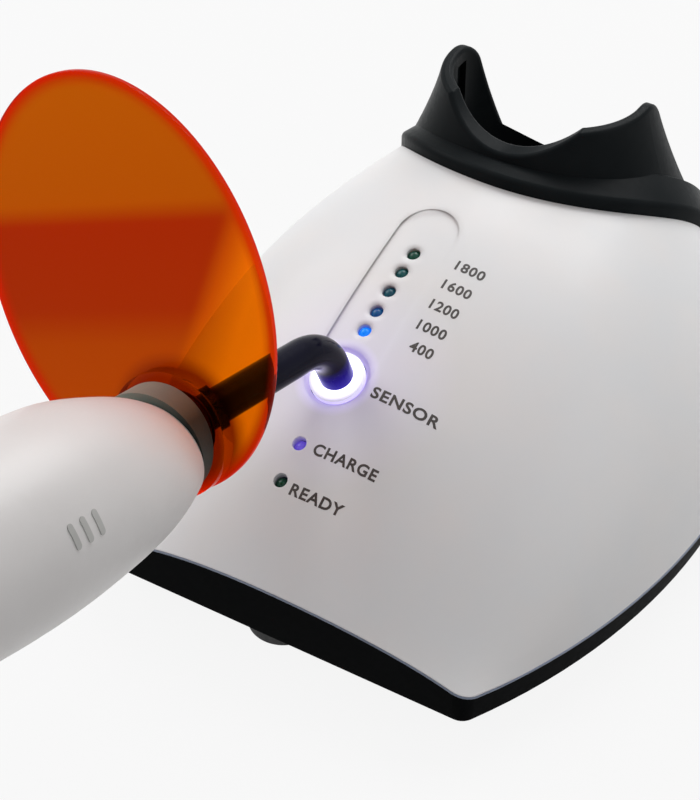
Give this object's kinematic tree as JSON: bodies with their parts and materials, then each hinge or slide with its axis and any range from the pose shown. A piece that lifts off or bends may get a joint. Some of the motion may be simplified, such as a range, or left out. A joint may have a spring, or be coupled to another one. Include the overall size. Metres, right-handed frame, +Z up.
{
  "type": "dental curing light",
  "caption": "Cordless curing light with a bent light guide and an orange eye shield, held over the light meter of its charging base.",
  "frame": {"origin": "middle of the front foot's underside, on the surface the base stands on", "axes": "+X right along the lettering seen from the front, +Y from the front edge to the cradle, +Z up"},
  "size_m": [0.126, 0.3554, 0.1379],
  "materials": {
    "white_shell": "smooth satin white moulding",
    "black_shell": "black moulding with a fine satin surface",
    "grey_trim": "fine matt grey moulding",
    "collar_grey": "matt grey-green moulding",
    "orange_clear": "clear orange light-stopping sheet",
    "guide_glass": "polished glass rod",
    "guide_black": "glossy black sheath",
    "foot_rubber": "soft black rubber",
    "steel": "plain turned or cut steel",
    "board_green": "green coated circuit board",
    "black_inner": "plain black moulding",
    "window_milky": "milky clear window",
    "lamp_green": "tinted lamp lens",
    "lamp_blue": "lit blue lamp lens",
    "brass": "plated contact metal",
    "emitter_yellow": "clear cap over the emitter",
    "bright_metal": "polished reflector",
    "sink_metal": "turned aluminium",
    "cell_wrap": "plastic-wrapped cell",
    "button_grey": "soft-touch button cap"
  },
  "bodies": {
    "base": {"base_bottom_shell": "black_shell", "base_top_shell": "white_shell", "rear_housing": "black_shell", "lamp_board": "board_green", "sensor_holder": "black_inner", "sensor_window": "window_milky", "light_sensor": "black_inner", "scale_led_1": "lamp_blue", "scale_led_2": "lamp_green", "scale_led_3": "lamp_green", "scale_led_4": "lamp_green", "scale_led_5": "lamp_green", "charge_led": "lamp_blue", "ready_led": "lamp_green", "foot_front": "foot_rubber", "foot_left": "foot_rubber", "foot_right": "foot_rubber", "foot_rear_left": "foot_rubber", "foot_rear_right": "foot_rubber", "ballast_plate": "steel", "base_screw_1": "steel", "base_screw_2": "steel", "base_screw_3": "steel", "base_screw_4": "steel", "supply_socket": "black_shell", "supply_pin": "brass", "contact_block": "black_shell"},
    "left_pin": {"contact_pin_left": "brass"},
    "right_pin": {"contact_pin_right": "brass"},
    "handpiece": {"barrel": "white_shell", "collar": "collar_grey", "emitter_board": "board_green", "emitter": "emitter_yellow", "reflector": "bright_metal", "heat_sink": "sink_metal", "main_board": "board_green", "power_switch": "black_inner", "mode_switch": "black_inner", "status_lamp": "lamp_green", "battery_sleeve": "black_inner", "battery": "cell_wrap", "tail_cap": "grey_trim", "tail_contact_left": "brass", "tail_contact_right": "brass", "mark_bar_1": "grey_trim", "mark_bar_2": "grey_trim", "mark_bar_3": "grey_trim"},
    "power_key": {"power_button": "button_grey"},
    "mode_key": {"mode_button": "button_grey"},
    "guide": {"guide_rod": "guide_glass", "guide_sheath": "guide_black", "guide_ferrule": "steel", "guide_seal": "foot_rubber"},
    "eye_shield": {"shield": "orange_clear"}
  },
  "joints": [
    {"name": "handpiece_lift", "type": "slide", "parent": "base", "child": "handpiece", "axis": [0, 0, 1], "range_m": [0, 0.06]},
    {"name": "guide_turn", "type": "hinge", "parent": "handpiece", "child": "guide", "pos_m": [-0.0042, -0.0319, 0.0739], "axis": [0, 0.9603, -0.279], "range_deg": [-170, 170]},
    {"name": "shield_turn", "type": "hinge", "parent": "handpiece", "child": "eye_shield", "pos_m": [-0.0042, -0.0319, 0.0739], "axis": [0, 0.9603, -0.279], "range_deg": [-170, 170]},
    {"name": "power_press", "type": "slide", "parent": "handpiece", "child": "power_key", "axis": [0.5299, -0.2366, -0.8144], "range_m": [0, 0.0005], "stiffness_N_per_m": 1500},
    {"name": "mode_press", "type": "slide", "parent": "handpiece", "child": "mode_key", "axis": [0.5299, -0.2366, -0.8144], "range_m": [0, 0.0005], "stiffness_N_per_m": 1200},
    {"name": "left_pin_press", "type": "slide", "parent": "base", "child": "left_pin", "axis": [0, 0, -1], "range_m": [0, 0.0015], "stiffness_N_per_m": 400},
    {"name": "right_pin_press", "type": "slide", "parent": "base", "child": "right_pin", "axis": [0, 0, -1], "range_m": [0, 0.0015], "stiffness_N_per_m": 400}
  ]
}
